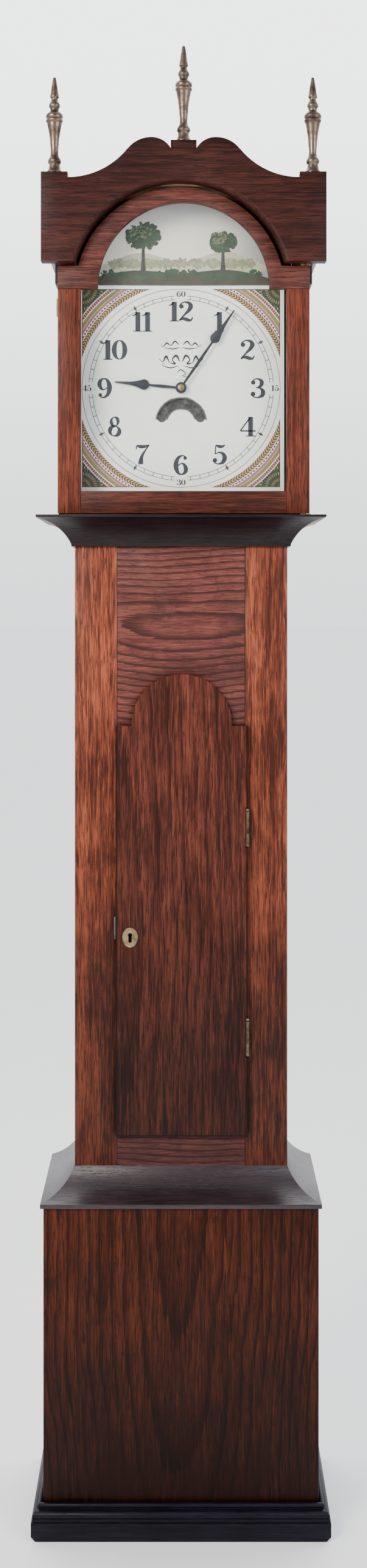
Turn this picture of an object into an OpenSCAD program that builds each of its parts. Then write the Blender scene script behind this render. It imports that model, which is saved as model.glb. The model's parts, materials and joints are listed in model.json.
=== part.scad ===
// Longcase (grandfather) clock with a thirty-hour rope-driven movement.
// X is to the clock's right as seen from the front, the front faces -Y, Z is up.
// The origin is under the middle of the plinth, on the floor.

/* [Case] */
// Width of the trunk
trunk_w = 312; // [300:1:320]
// Width of the base box
base_w = 397; // [390:1:402]
// Depth from the plinth's front to the back of the case
case_d = 225; // [224:1:228]
// Distance from the trunk's front to the back of the case
trunk_d = 165; // [160:1:168]
// How far the plinth stands out from the base
plinth_out = 16.5; // [14:0.5:18]
// Height of the plinth with its moulding
plinth_h = 49; // [47:1:52]
// Height of the underside of the base cove
base_top = 471; // [460:1:480]
// Height of the base cove moulding
base_cove_h = 46; // [42:1:50]
// Height of the underside of the throat moulding
throat_z = 1426; // [1415:1:1435]
// Height of the throat moulding
throat_h = 44; // [40:1:44]
// Width of the two front stiles of the trunk
stile_w = 61.6; // [58:0.2:64]
// Thickness of the front boards
board_t = 20; // [18:1:20]
// Thickness of the trunk's side boards
side_t = 14; // [12:1:16]
// Thickness of the backboard
back_t = 12; // [10:1:13]

/* [Trunk door] */
// Half of the door's width over its lip
door_half = 96.5; // [95:0.5:98]
// Height of the door's bottom edge
door_z = 562.3; // [550:0.1:570]
// Height of the door's shoulders
door_shoulder = 1163; // [1150:1:1170]
// Radius of the arch at the top of the door
door_arch_r = 73.3; // [68:0.1:76]
// Height of the middle of the lower hinge
low_hinge_z = 707; // [690:1:720]
// Height of the middle of the upper hinge
high_hinge_z = 1014; // [1000:1:1030]
// Height of the keyhole
key_z = 853.5; // [845:0.5:860]

/* [Hood] */
// How far the hood stands to the right of the case's middle
hood_x = 3.8; // [3:0.1:4.5]
// Width of the hood's door
hood_w = 365.7; // [362:0.1:368]
// Width of the cresting board
crest_w = 411.3; // [400:0.1:416]
// Height of the cresting board's lower edge
crest_z = 1835; // [1834:1:1838]
// Height of the glazed door's square opening sides
stile_in = 33.6; // [30:0.1:36]
// Radius of the glazed door's arch opening
glass_arch_r = 124.5; // [120:0.5:126]
// Height of the centre of the glazed door's arch
glass_arch_z = 1800.5; // [1798:0.5:1802]
// Radius of the cresting board's arch at its face
crest_arch_r = 164.6; // [163:0.1:166]
// Height of a finial
finial_h = 139; // [130:1:145]

/* [Dial] */
// Side of the square part of the dial
dial_w = 304.8; // [300:0.1:308]
// Height of the middle of the dial
dial_z = 1660.8; // [1658:0.1:1663]
// Radius of the dial's arch
dial_arch_r = 140; // [132:1:142]
// Distance of the dial's face behind the middle of the case
dial_face = -35; // [-36:0.5:-34]
// Minutes shown by the minute hand at rest
minute_angle = 34.6; // [0:0.1:359]
// Direction of the hour hand at rest
hour_angle = 275.2; // [0:0.1:359]

/* [Movement] */
// Radius of the rope's line on its pulleys
rope_r = 26; // [25:0.5:27]
// Thickness of the drive rope
rope_d = 5; // [4:0.5:5]
// Height of the weight's pulley at rest
weight_z = 1120; // [1000:10:1200]
// Height of the ring's loop at rest
ring_z = 800; // [700:10:900]
// Length of the pendulum from its pivot to the middle of the bob
pendulum_l = 985; // [970:1:994]
// Radius of the pendulum bob
bob_r = 52; // [45:1:54]

/* [Hidden] */
$fn = 96;

back_y = case_d / 2;
trunk_front = back_y - trunk_d;
base_front = plinth_out - case_d / 2;
board_front = back_y - back_t;
cove_r = 65;
mitre_gap = 0.1;
lip_out = 47;
opening_half = trunk_w / 2 - stile_w;
trunk_top = 1525;
seat_t = 20;
seat_top = trunk_top + seat_t;

mahogany = [0.36, 0.15, 0.09];
dark_mahogany = [0.16, 0.08, 0.07];
plain_oak = [0.45, 0.33, 0.2];
old_brass = [0.62, 0.5, 0.27];
bright_brass = [0.78, 0.62, 0.3];
blue_steel = [0.07, 0.1, 0.2];
iron = [0.2, 0.2, 0.21];
hemp = [0.7, 0.58, 0.38];

// ---- helpers ----

// Extrudes an outline drawn in X and Z from y0 towards the back.
module slab(y0, thick) {
    translate([0, y0 + thick, 0]) rotate([90, 0, 0]) linear_extrude(thick) children();
}

// A round bar along Y.
module bar_y(x, z, r, y0, y1) {
    translate([x, y1, z]) rotate([90, 0, 0]) cylinder(r = r, h = y1 - y0);
}

// A box given by its two corners.
module span(low, high) {
    translate(low) cube(high - low);
}

// The unit step in the direction turned clockwise from straight up.
function toward(angle) = [sin(angle), cos(angle)];

module mirrored() {
    children();
    mirror([1, 0, 0]) children();
}

// Keeps the part of a mitred front length that lies between its two 45 degree cuts.
module front_mitre(half, front, reach, z0, z1) {
    translate([0, 0, z0]) linear_extrude(z1 - z0)
        polygon([[-half - reach, front - reach], [half + reach, front - reach],
            [half - mitre_gap, front - mitre_gap], [half - mitre_gap, front],
            [-half + mitre_gap, front], [-half + mitre_gap, front - mitre_gap]]);
}

// Keeps the part of a side return that lies behind its 45 degree cut.
module side_mitre(half, front, reach, z0, z1) {
    translate([0, 0, z0]) linear_extrude(z1 - z0)
        polygon([[half, front], [half + reach + mitre_gap, front - reach],
            [half + reach + mitre_gap, back_y], [half, back_y]]);
}

// A moulding round the front and both sides of a box, in three mitred lengths.
// The child is its section, with X outwards from the box and Y upwards.
module mitred_moulding(half, front, reach, z0, height) {
    intersection() {
        translate([-half - reach, front, z0]) rotate([90, 0, 90])
            linear_extrude(2 * (half + reach)) mirror([1, 0]) children();
        front_mitre(half, front, reach, z0 - 1, z0 + height + 1);
    }
    mirrored() intersection() {
        translate([half, back_y, z0]) rotate([90, 0, 0])
            linear_extrude(back_y - front + reach) children();
        side_mitre(half, front, reach, z0 - 1, z0 + height + 1);
    }
}

// Centre of the circle of radius r through a and b, on the left of the way from a to b.
function arc_centre(a, b, r) =
    let (d = b - a, c = norm(d), k = sqrt(r * r - c * c / 4))
    (a + b) / 2 + [-d[1], d[0]] / c * k;

// A toothed outline: tooth 0 points along the angle given.
module gear_outline(teeth, size, angle, tall = 0.75, deep = 1.05, wide = 0.38) {
    pitch = teeth * size / 2;
    step = 360 / teeth;
    polygon([for (i = [0 : teeth - 1], c = [[-0.62, -deep], [-0.5, 0], [-0.2, tall],
            [0.2, tall], [0.5, 0], [0.62, -deep]])
        let (a = angle + i * step + c[0] * wide * step, r = pitch + c[1] * size)
        r * [cos(a), sin(a)]]);
}

// A crossed-out wheel of four arms, centred on the origin.
module crossed_wheel(teeth, size, angle, hub, rim) {
    inner = teeth * size / 2 - size - rim;
    difference() {
        gear_outline(teeth, size, angle);
        for (a = [0 : 90 : 270]) rotate(a) difference() {
            intersection() {
                circle(inner);
                translate([rim, rim]) square(inner);
            }
            circle(hub);
        }
    }
}

// ---- case ----

module base_panel() {
    color(mahogany) span([-base_w / 2, base_front, 6], [base_w / 2, base_front + 18, base_top]);
}

module base_sides() {
    color(mahogany) mirrored()
        span([base_w / 2 - 16, base_front + 18, 6], [base_w / 2, back_y, base_top]);
}

// Section of the plinth: a board with a bold bead, a quirk and a small bead above it.
module plinth_section() {
    difference() {
        union() {
            square([plinth_out, 26]);
            square([14.5, 31]);
            translate([8, 34]) circle(6.5);
            square([8, 40.5]);
            square([6, plinth_h - 3]);
            translate([4, plinth_h - 3.5]) circle(3.5);
        }
        translate([-10, -1]) square([10, plinth_h + 2]);
    }
}

module plinth_mouldings() {
    color(dark_mahogany) difference() {
        mitred_moulding(base_w / 2, base_front, plinth_out, 0, plinth_h) plinth_section();
        mirrored() translate([base_w / 2 + plinth_out, 0, 0]) rotate([0, 45, 0])
            cube([9, 2 * case_d, 9], center = true);
    }
}

module base_cove_section() {
    lip = 6;
    difference() {
        square([lip_out, base_cove_h]);
        translate(arc_centre([0, base_cove_h], [lip_out, lip], cove_r)) circle(cove_r);
    }
}

module base_cove() {
    color(dark_mahogany) mitred_moulding(trunk_w / 2, trunk_front, lip_out, base_top, base_cove_h)
        base_cove_section();
}

module trunk_stiles() {
    color(mahogany) difference() {
        mirrored() span([opening_half, trunk_front, base_top - 31],
            [trunk_w / 2, trunk_front + board_t, throat_z + throat_h]);
        span([-opening_half - 9, -38.2, key_z - 8], [-opening_half + 1, -33.6, key_z + 8]);
    }
}

// Outline of the trunk door, drawn back from its lip by the distance given.
module door_outline(back) {
    half = door_half - back;
    translate([1, 0]) union() {
        translate([-half, door_z + back]) square([2 * half, door_shoulder - door_z - 2 * back]);
        translate([-door_arch_r + back, door_shoulder - 2 * back])
            square([2 * (door_arch_r - back), 2.4 + 2 * back]);
        translate([0, door_shoulder + 2.4]) intersection() {
            circle(door_arch_r - back);
            translate([-door_arch_r, 0]) square(2 * door_arch_r);
        }
    }
}

module trunk_rails() {
    header_bottom = door_shoulder - 2;
    color(mahogany) difference() {
        slab(trunk_front, board_t) {
            translate([-opening_half, header_bottom])
                square([2 * opening_half, throat_z + throat_h - header_bottom]);
            translate([-opening_half, base_top - 31])
                square([2 * opening_half, door_z + 2.2 - base_top + 31]);
        }
        slab(trunk_front - 1, board_t + 2) door_outline(2);
    }
}

module trunk_sides() {
    color(mahogany) mirrored() span([trunk_w / 2 - side_t, trunk_front + board_t, base_top - 31],
        [trunk_w / 2, board_front, trunk_top]);
}

module backboard() {
    spur_x = trunk_w / 2 + mitre_gap;
    ear_z = hood_bottom + 16;
    color(plain_oak) {
        span([-trunk_w / 2, board_front, 6], [trunk_w / 2, back_y, ear_z]);
        span([-164.5, board_front, ear_z], [172, back_y, hood_top_z - 0.4]);
        mirrored() span([spur_x, board_front, 6], [base_w / 2 - 16, back_y, base_top]);
    }
}

module throat_section() {
    fillet = 3;
    bottom_out = 5;
    top_out = 52.8;
    difference() {
        square([top_out, throat_h]);
        translate(arc_centre([top_out, throat_h - 3.5], [bottom_out, fillet], cove_r))
            circle(cove_r);
    }
    square([bottom_out, fillet]);
}

module throat_moulding() {
    color(dark_mahogany) mitred_moulding(trunk_w / 2, trunk_front, 52.8, throat_z, throat_h)
        throat_section();
}

rope_y = [15, 43];

module rope_slots(z0, z1) {
    mirrored() span([rope_r - 6, rope_y[0] - 7, z0], [rope_r + 6, rope_y[1] + 7, z1]);
}

module seatboard() {
    color(plain_oak) difference() {
        span([-trunk_w / 2, -20, trunk_top], [trunk_w / 2, 71, seat_top]);
        rope_slots(trunk_top - 1, seat_top + 1);
    }
}

// ---- trunk door ----

hinge_x = 97.5;
hinge_y = -58.5;
hinge_l = 54;
knuckle_r = 2.8;
knuckle_split = -6;

// One half of a hinge's barrel with its collars and ball end, from z0 out to z1.
module hinge_barrel(z0, z1) {
    way = z1 > z0 ? 1 : -1;
    translate([hinge_x, hinge_y, 0]) {
        translate([0, 0, min(z0, z1)]) cylinder(r = knuckle_r, h = abs(z1 - z0));
        for (z = [z0 + 0.9 * way, z1 - 0.9 * way])
            translate([0, 0, z - 0.9]) cylinder(r = 3.35, h = 1.8);
        translate([0, 0, z1 + 2.6 * way]) sphere(3.2);
    }
}

module hinge_set() {
    for (z = [low_hinge_z, high_hinge_z]) translate([0, 0, z]) children();
}

module case_hinge_leaves() {
    low = -hinge_l / 2;
    color(old_brass) hinge_set() {
        hinge_barrel(knuckle_split - 0.1, low + 4);
        translate([hinge_x, hinge_y, knuckle_split - 1]) cylinder(r = 1.2, h = 24);
        span([93.3, -57, low + 5], [hinge_x, -55.4, knuckle_split - 2]);
        span([93.3, -55.4, low + 4], [opening_half, -38, -low - 4]);
    }
}

module door_hinge_leaves() {
    low = -hinge_l / 2;
    color(old_brass) hinge_set() difference() {
        union() {
            hinge_barrel(knuckle_split + 0.1, -low - 4);
            span([92, -57, knuckle_split + 2], [hinge_x, -55.9, -low - 5]);
            span([92, -57, low + 4], [93.1, -38, -low - 4]);
        }
        translate([hinge_x, hinge_y, knuckle_split - 2]) cylinder(r = 1.26, h = 27);
    }
}

key_x = -74.6;

module keyhole_outline() {
    translate([key_x, key_z + 3.6]) circle(3);
    translate([key_x - 2.3, key_z - 7.3]) square([4.6, 11]);
}

module trunk_door_panel() {
    body_front = trunk_front - 0.2;
    color(mahogany) difference() {
        union() {
            slab(trunk_front - 8, 7.8) door_outline(0);
            slab(body_front, 14.2) intersection() {
                door_outline(3.1);
                translate([-200, 0]) square([292, 2000]);
            }
        }
        hinge_set() {
            translate([hinge_x, hinge_y, -hinge_l / 2 - 2.5]) cylinder(r = 3.6, h = hinge_l + 5);
            span([92, -57.3, -hinge_l / 2 + 3], [99, -50, hinge_l / 2 - 3]);
        }
        slab(trunk_front - 9, 11) keyhole_outline();
    }
}

module escutcheon() {
    y0 = trunk_front - 9.2;
    color(old_brass) {
        slab(y0, 1.2) difference() {
            translate([key_x, key_z]) scale([11.35 / 14.5, 1]) circle(14.5);
            keyhole_outline();
        }
        for (z = [-11.4, 11.4]) bar_y(key_x, key_z + z, 1.1, y0 - 0.6, y0 + 0.1);
    }
}

lock_y = [-38.5, -27];

module door_lock() {
    color(old_brass) difference() {
        span([-92.4, lock_y[0], key_z - 25], [-52, lock_y[1], key_z + 25]);
        span([-93, -37.6, key_z - 7.2], [-58, -34, key_z + 7.2]);
    }
}

module lock_bolt() {
    color(bright_brass) span([-92.4, -37.4, key_z - 7], [-68, -34.2, key_z + 7]);
}

module door_pull() {
    color(iron) span([-98.5, -56, 850], [1 - door_half, -53, 883]);
}

// ---- hood ----

hood_half = hood_w / 2;
door_front = -80;
door_back = -61.6;
hood_front = -61;
crest_back = -80.5;
crest_front = -100;
hood_bottom = throat_z + throat_h + 0.3;
pivot = [hood_x + hood_half - 2.5, -79];
hood_top_z = 1948;
ear_t = 1.2;
ear_w = 10.8;
pin_r = 2;

module crest_lobe() {
    lobe_x = 46.4;
    lobe_z = 1969.4;
    lobe_r = 43.8;
    inner_r = 32.4;
    sweep_r = 110.4;
    shelf_z = 1955.5;
    shelf_x = 167;
    difference() {
        union() {
            translate([lobe_x, lobe_z]) intersection() {
                circle(lobe_r);
                translate([0, shelf_z - lobe_z]) square([lobe_r, 2 * lobe_r]);
            }
            translate([lobe_x, lobe_z + lobe_r - inner_r]) intersection() {
                circle(inner_r);
                translate([-27.7, -26]) square([27.7, 60]);
            }
            polygon([[lobe_x, shelf_z - 1], [lobe_x, lobe_z], [80.6, 1996.8],
                [shelf_x, shelf_z], [shelf_x, shelf_z - 1]]);
            translate([18, shelf_z - 1]) square([lobe_x - 18, lobe_z - shelf_z + 12]);
        }
        translate([shelf_x, shelf_z + sweep_r]) circle(sweep_r);
    }
}

module crest_outline() {
    translate([-crest_w / 2, crest_z]) square([crest_w, 1955.5 - crest_z]);
    translate([-18.7, 1955]) square([37.4, 54]);
    for (s = [0, 1]) mirror([s, 0]) {
        translate([crest_w / 2 - 38.5, 1955]) square([38.5, 8.5]);
        crest_lobe();
    }
}

arch_x = -1.7;
arch_z = 1794;

module cresting_board() {
    soft = 8;
    color(mahogany) difference() {
        slab(crest_front, crest_back - crest_front) translate([hood_x, 0]) crest_outline();
        bar_y(arch_x, arch_z, crest_arch_r - soft, crest_front - 1, crest_back + 1);
        translate([arch_x, crest_front, arch_z]) rotate([-90, 0, 0]) rotate_extrude()
            difference() {
                translate([0, -1]) square([crest_arch_r, soft + 1]);
                translate([crest_arch_r, soft]) circle(soft);
            }
    }
}

module hood_sides() {
    color(mahogany) difference() {
        for (s = [-1, 1]) translate([hood_x + s * (hood_half - side_t / 2), 0, 0]) {
            span([-side_t / 2, hood_front, hood_bottom], [side_t / 2, back_y, crest_z]);
            span([-side_t / 2, crest_back, crest_z], [side_t / 2, back_y, hood_top_z]);
        }
        for (z = [[hood_bottom - 1, hood_bottom + ear_t], [crest_z - ear_t, crest_z]])
            span([pivot[0] - ear_w, hood_front - 1, z[0]], [pivot[0], pivot[1] + 26, z[1]]);
    }
}

module hood_top_board() {
    color(plain_oak) span([hood_x - hood_half, crest_back, hood_top_z],
        [hood_x + hood_half, back_y, hood_top_z + 7]);
}

// Section of the cornice under the hood's top, with X outwards and Y upwards.
module cornice_section() {
    difference() {
        square([20, 72]);
        translate([5.4, -1]) square([20, 25]);
        translate([5.4 + 34, 24]) circle(34);
    }
    translate([0, 58]) square([20, 14]);
}

module hood_cornices() {
    color(dark_mahogany) for (s = [0, 1])
        translate([hood_x, 0, 0]) mirror([s, 0, 0])
        translate([hood_half, back_y, 1810]) rotate([90, 0, 0]) difference() {
            linear_extrude(back_y - crest_back) cornice_section();
            translate([-1, -1, back_y - door_back - 1.4]) cube([30, 26, 40]);
        }
}

module hood_sill() {
    runner_top = hood_bottom + 14;
    inner = hood_half - side_t;
    color(plain_oak) {
        span([hood_x - inner, hood_front, hood_bottom], [hood_x + inner, -38, runner_top]);
        span([hood_x - inner, -37.9, hood_bottom], [-trunk_w / 2 - 1, back_y, runner_top]);
        span([trunk_w / 2 + 1, -37.9, hood_bottom], [hood_x + inner, back_y, runner_top]);
    }
}

module finial_section() {
    polygon([[0, 0], [11, 0], [11, 1.8], [9.6, 3.6], [8.6, 6.5], [7.7, 12.3], [9.4, 15],
        [9.7, 17], [9.2, 19.2], [7, 22.4], [5.8, 26], [5.5, 30], [5.8, 36], [6.4, 41],
        [7, 50], [8.4, 60], [10.2, 69], [10.8, 72.6], [12.1, 74.2], [12.3, 76], [11.2, 78],
        [12.2, 80], [12.4, 82.4], [11.4, 84.4], [8.5, 86.8], [5.9, 89.9], [6.4, 93],
        [8.1, 96], [8.1, 98.6], [6.3, 102], [4.7, 105.6], [5, 107.6], [6.5, 109.2],
        [6.5, 110.6], [5.2, 118], [3.7, 128], [2.7, 135], [2, 137.6], [0, finial_h]]);
}

module finials() {
    finial_y = (crest_front + crest_back) / 2;
    color(old_brass) for (p = [[-186.5, 1963.5], [0, 2009], [186.5, 1963.5]])
        translate([hood_x + p[0], finial_y, p[1]]) rotate_extrude() finial_section();
}

module pivot_plate_outline(deep) {
    translate(pivot) circle(4);
    translate([pivot[0] - ear_w, pivot[1]]) square([ear_w, deep]);
}

module hood_pivot_plates() {
    color(old_brass) {
        translate([0, 0, hood_bottom]) linear_extrude(ear_t) pivot_plate_outline(26);
        translate([pivot[0], pivot[1], hood_bottom]) cylinder(r = pin_r, h = 2 * ear_t);
        translate([0, 0, crest_z - ear_t]) linear_extrude(ear_t) pivot_plate_outline(26);
        translate([pivot[0], pivot[1], crest_z - 2 * ear_t - 0.1])
            cylinder(r = pin_r, h = 2 * ear_t);
    }
}

module door_ear() {
    linear_extrude(1.1) difference() {
        pivot_plate_outline(17);
        translate(pivot) circle(pin_r + 0.06);
    }
}

module glazed_door_fittings() {
    edge = hood_x - hood_half;
    color(old_brass) {
        translate([0, 0, door_low - 1.1]) door_ear();
        translate([0, 0, door_high]) door_ear();
        span([edge - 1.8, -78, 1760], [edge, -66, 1785]);
    }
}

door_low = hood_bottom + 2.4;
door_high = crest_z - 2.6;
rail_top = 1505.4;
lug_z = 1799;
head_r = 152.5;
head_gap = 0.1;

module glazed_door_stiles() {
    color(mahogany) for (s = [0, 1]) translate([hood_x, 0, 0]) mirror([s, 0, 0])
        difference() {
            span([hood_half - stile_in, door_front, door_low], [hood_half, door_back, lug_z]);
            span([hood_half - stile_in - 1, -69, rail_top - 7],
                [hood_half - stile_in + 7, door_back + 1, lug_z + 1]);
        }
}

module glazed_door_bottom_rail() {
    half = hood_half - stile_in;
    color(mahogany) difference() {
        span([hood_x - half, door_front, door_low], [hood_x + half, door_back, rail_top]);
        span([hood_x - half - 1, -69, rail_top - 7],
            [hood_x + half + 1, door_back + 1, rail_top + 1]);
    }
}

module head_outline() {
    intersection() {
        translate([arch_x, arch_z]) circle(head_r);
        translate([-200, door_high - 5]) square([400, 200]);
    }
    translate([hood_x - hood_half, lug_z + head_gap])
        square([hood_w, door_high - lug_z - head_gap]);
}

module glazed_door_head() {
    joint_z = glass_arch_z + 34;
    opening_r = glass_arch_r + 7;
    color(mahogany) difference() {
        slab(door_front, door_back - door_front) head_outline();
        bar_y(hood_x, glass_arch_z, glass_arch_r, door_front - 1, door_back + 1);
        bar_y(hood_x, glass_arch_z, opening_r, -69, door_back + 1);
        span([hood_x - glass_arch_r, door_front - 1, lug_z - 1],
            [hood_x + glass_arch_r, door_back + 1, glass_arch_z]);
        span([hood_x - hood_half + stile_in - 7, -69, lug_z - 1],
            [hood_x + hood_half - stile_in + 7, door_back + 1, glass_arch_z]);
    }
}

module glazed_door_glass() {
    half = hood_half - stile_in + 6.8;
    color([0.85, 0.9, 0.9, 0.25]) slab(-69, 2) {
        translate([hood_x - half, rail_top - 6.8])
            square([2 * half, glass_arch_z - rail_top + 6.6]);
        translate([hood_x, glass_arch_z - 0.5]) intersection() {
            circle(glass_arch_r + 6.6);
            translate([-200, 0]) square(400);
        }
    }
}

// ---- dial and hands ----

date_drop = 51.8;
date_z = dial_z - date_drop;
dial_back = dial_face + 1.5;

// A curved slot with round ends, as the points of its edge.
module date_window() {
    mid_r = 29.6;
    half = 7;
    sweep = 73.8;
    polygon(concat(
        [for (i = [0 : 36]) (mid_r + half) * toward(-sweep + i * sweep / 18)],
        [for (f = [15 : 15 : 165]) mid_r * toward(sweep) + half * toward(sweep + f)],
        [for (i = [36 : -1 : 0]) (mid_r - half) * toward(-sweep + i * sweep / 18)],
        [for (f = [165 : -15 : 15]) mid_r * toward(-sweep) + half * toward(-sweep - f)]));
}

module dial_plate() {
    color([0.9, 0.88, 0.82]) {
        slab(dial_face, 1.5) difference() {
            union() {
                translate([-dial_w / 2, dial_z - dial_w / 2]) square(dial_w);
                translate([0, 1795]) circle(dial_arch_r);
            }
            translate([0, dial_z]) circle(7.2);
            translate([0, date_z]) date_window();
        }
    }
}

// Four pillars that stand the dial off the movement, and the stud of the date ring.
module dial_feet() {
    color(bright_brass) {
        bar_y(0, date_z, 2, dial_back, -27);
        for (x = [-56, 56], z = [seat_top + 2, top_plate_z + 2])
            bar_y(x, z, 1.9, dial_back, frame_y[0]);
    }
}

module date_disc() {
    disc_y = -31.5;
    color([0.85, 0.83, 0.76]) slab(disc_y, 1) translate([0, date_z]) difference() {
        gear_outline(62, 1.34, 0);
        circle(2.05);
    }
}

hand_hub_r = 8.2;

// Half of a hand's edge: slim stem, pear-shaped blade, hollow taper and fine tip.
function hand_side(neck, belly, shoulder, tip, r) =
    let (start = belly + r * sin(20))
    concat([[1.6, 7], [2.4, neck * 0.6], [1.5, neck]],
        [for (a = [-70 : 10 : 20]) [r * cos(a), belly + r * sin(a)]],
        [for (t = [0.15 : 0.15 : 0.9])
            [1.9 + (r * 0.93 - 1.9) * pow(1 - t, 1.8), start + (shoulder - start) * t]],
        [[1.9, shoulder], [0.8, tip]]);

// The outline of a hand that points up, with its hub round a bore.
module hand_outline(bore, neck, belly, shoulder, tip, r) {
    side = hand_side(neck, belly, shoulder, tip, r);
    difference() {
        circle(hand_hub_r);
        circle(bore);
    }
    polygon(concat(side, [for (i = [len(side) - 1 : -1 : 0]) [-side[i][0], side[i][1]]]));
}

minute_y = -42.2;
hour_y = -38.8;

module minute_hand() {
    color(blue_steel) slab(minute_y, 1.1) translate([0, dial_z]) rotate(-minute_angle)
        hand_outline(4.45, 80, 88.5, 122, 139, 7.5);
    color(bright_brass) {
        bar_y(0, dial_z, 4.9, minute_y - 1.6, minute_y - 0.05);
        bar_y(0, dial_z, 2.2, minute_y - 3, minute_y - 1.5);
    }
}

module hour_hand() {
    color(blue_steel) slab(hour_y, 1.1) translate([0, dial_z]) rotate(-hour_angle)
        hand_outline(6.25, 46.5, 55, 82, 98.8, 7.7);
}

motion_x = -30;

module cannon_wheel() {
    color(bright_brass) difference() {
        union() {
            slab(-8, 2) translate([0, dial_z]) gear_outline(30, 1, 6);
            bar_y(0, dial_z, 4.4, minute_y, -6);
        }
        bar_y(0, dial_z, 2.56, minute_y + 0.6, -5);
    }
}

module hour_wheel() {
    size = 30 / 39;
    color(bright_brass) difference() {
        union() {
            slab(-14, 2) translate([0, dial_z]) gear_outline(72, size, 2.5);
            bar_y(0, dial_z, 6.2, hour_y, -12);
        }
        bar_y(0, dial_z, 4.46, hour_y - 1, -11);
    }
}

module minute_wheel() {
    size = 30 / 39;
    color(bright_brass) difference() {
        union() {
            slab(-8, 2) translate([motion_x, dial_z]) gear_outline(30, 1, 0);
            slab(-15, 7.1) translate([motion_x, dial_z]) gear_outline(6, size, 0, 0.6, 1, 0.4);
        }
        bar_y(motion_x, dial_z, 1.05, -16, -5);
    }
}

// ---- movement frame ----

great_z = 1588;
wheel_z = great_z + 39.6;
third_z = wheel_z + 28;
anchor_z = third_z + 28.3;
fly_pos = [-17, third_z + 7];
pivot_r = 1;
frame_y = [-2, 64];
top_plate_z = 1711;

module frame_plates() {
    color(bright_brass) {
        difference() {
            span([-70, frame_y[0], seat_top], [70, frame_y[1], seat_top + 4]);
            rope_slots(seat_top - 1, seat_top + 5);
        }
        difference() {
            span([-70, frame_y[0], top_plate_z], [70, frame_y[1], top_plate_z + 4]);
            span([-71, 22, top_plate_z - 1], [-40, 40, top_plate_z + 5]);
        }
    }
}

module post_section() {
    h = top_plate_z - seat_top - 4;
    polygon([[0, 0], [6, 0], [6, 8], [4.5, 11], [4.5, 24], [6, 27], [6, 31], [4, 36],
        [4, h - 36], [6, h - 31], [6, h - 27], [4.5, h - 24], [4.5, h - 11], [6, h - 8],
        [6, h], [0, h]]);
}

module frame_posts() {
    color(bright_brass) for (x = [-63, 63], y = [5, 57])
        translate([x, y, seat_top + 4]) rotate_extrude() post_section();
}

// Pivot holes of the trains, as centres in X and Z.
going_holes = [[0, great_z], [0, wheel_z], [0, third_z], [0, anchor_z]];

module movement_bars() {
    z0 = seat_top + 4;
    color(bright_brass) difference() {
        union() {
            for (y = [1, 29, 57]) span([-9, y, z0], [9, y + 4, top_plate_z]);
            span([-35, 1, dial_z - 6], [9, 5, dial_z + 6]);
            for (y = [29, 57]) span([-24, y, third_z], [0, y + 4, third_z + 14]);
            for (y = [29, 57]) span([-48, y, 1622], [0, y + 4, 1634]);
            bar_y(0, dial_z, 2.5, minute_y + 1.4, 1.5);
            bar_y(motion_x, dial_z, 1, -15.5, 1.5);
        }
        for (p = going_holes) bar_y(p[0], p[1], pivot_r + 0.05, 0, 62);
        bar_y(0, anchor_z, 2.6, 20, 40);
        bar_y(0, anchor_z, 1.76, 50, 62);
        bar_y(fly_pos[0], fly_pos[1], pivot_r + 0.05, 28, 62);
        bar_y(-44, 1628, pivot_r + 0.05, 28, 62);
    }
}

hang_y = 80;

module back_cock() {
    color(bright_brass) {
        span([-14, 61, anchor_z + 8], [14, 64, anchor_z + 24]);
        span([-6, 63, anchor_z + 8], [6, hang_y + 8, anchor_z + 14]);
        span([-6, hang_y + 4, anchor_z - 5], [6, hang_y + 8, anchor_z + 14]);
        bar_y(0, anchor_z, 2, hang_y - 6, hang_y + 5);
    }
}

bell_y = 31;
bell_low = 1736;
bell_h = 34;
bell_wall = 2.6;

module bell_stand() {
    foot = top_plate_z + 4;
    color(iron) translate([0, bell_y, 0]) {
        translate([0, 0, foot]) cylinder(r = 3, h = bell_low + bell_h + 8 - foot);
        translate([0, 0, foot]) cylinder(r = 8, h = 2);
        translate([0, 0, bell_low + bell_h - bell_wall - 6]) cylinder(r = 6, h = 5.5);
        translate([0, 0, bell_low + bell_h + 0.1]) cylinder(r = 6, h = 4, $fn = 6);
    }
}

module bell() {
    r = 48;
    color([0.72, 0.66, 0.5]) translate([0, bell_y, bell_low]) rotate_extrude() difference() {
        intersection() {
            translate([0, bell_h - r]) circle(r);
            translate([3.1, 0]) square(r);
        }
        translate([0, bell_h - r]) circle(r - bell_wall);
    }
}

// ---- going train ----

module arbor(x, z, y0, y1, r = 1.7) {
    bar_y(x, z, r, y0 + 2, y1 - 2);
    bar_y(x, z, pivot_r, y0, y1);
}

// A rope pulley with two flanges and a groove for the rope.
module rope_pulley(z, mid_y) {
    groove = rope_r - rope_d / 2 - 0.1;
    bar_y(0, z, groove, mid_y - 6, mid_y + 6);
    for (s = [-1, 1]) bar_y(0, z, rope_r + 2, mid_y + s * 4.6 - 1.4, mid_y + s * 4.6 + 1.4);
}

module great_wheel() {
    color(bright_brass) {
        slab(6.5, 2.2) translate([0, great_z]) gear_outline(60, 1.2, 93);
        rope_pulley(great_z, rope_y[0]);
    }
    color(iron) arbor(0, great_z, 3.2, 30.8, 3);
}

module second_wheel() {
    color(bright_brass) slab(22, 2) translate([0, wheel_z]) crossed_wheel(48, 1, 93.75, 5, 2.4);
    color(iron) {
        arbor(0, wheel_z, 3.2, 30.8);
        slab(5.8, 4) translate([0, wheel_z]) gear_outline(6, 1.2, -90, 0.6, 1, 0.36);
    }
}

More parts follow.
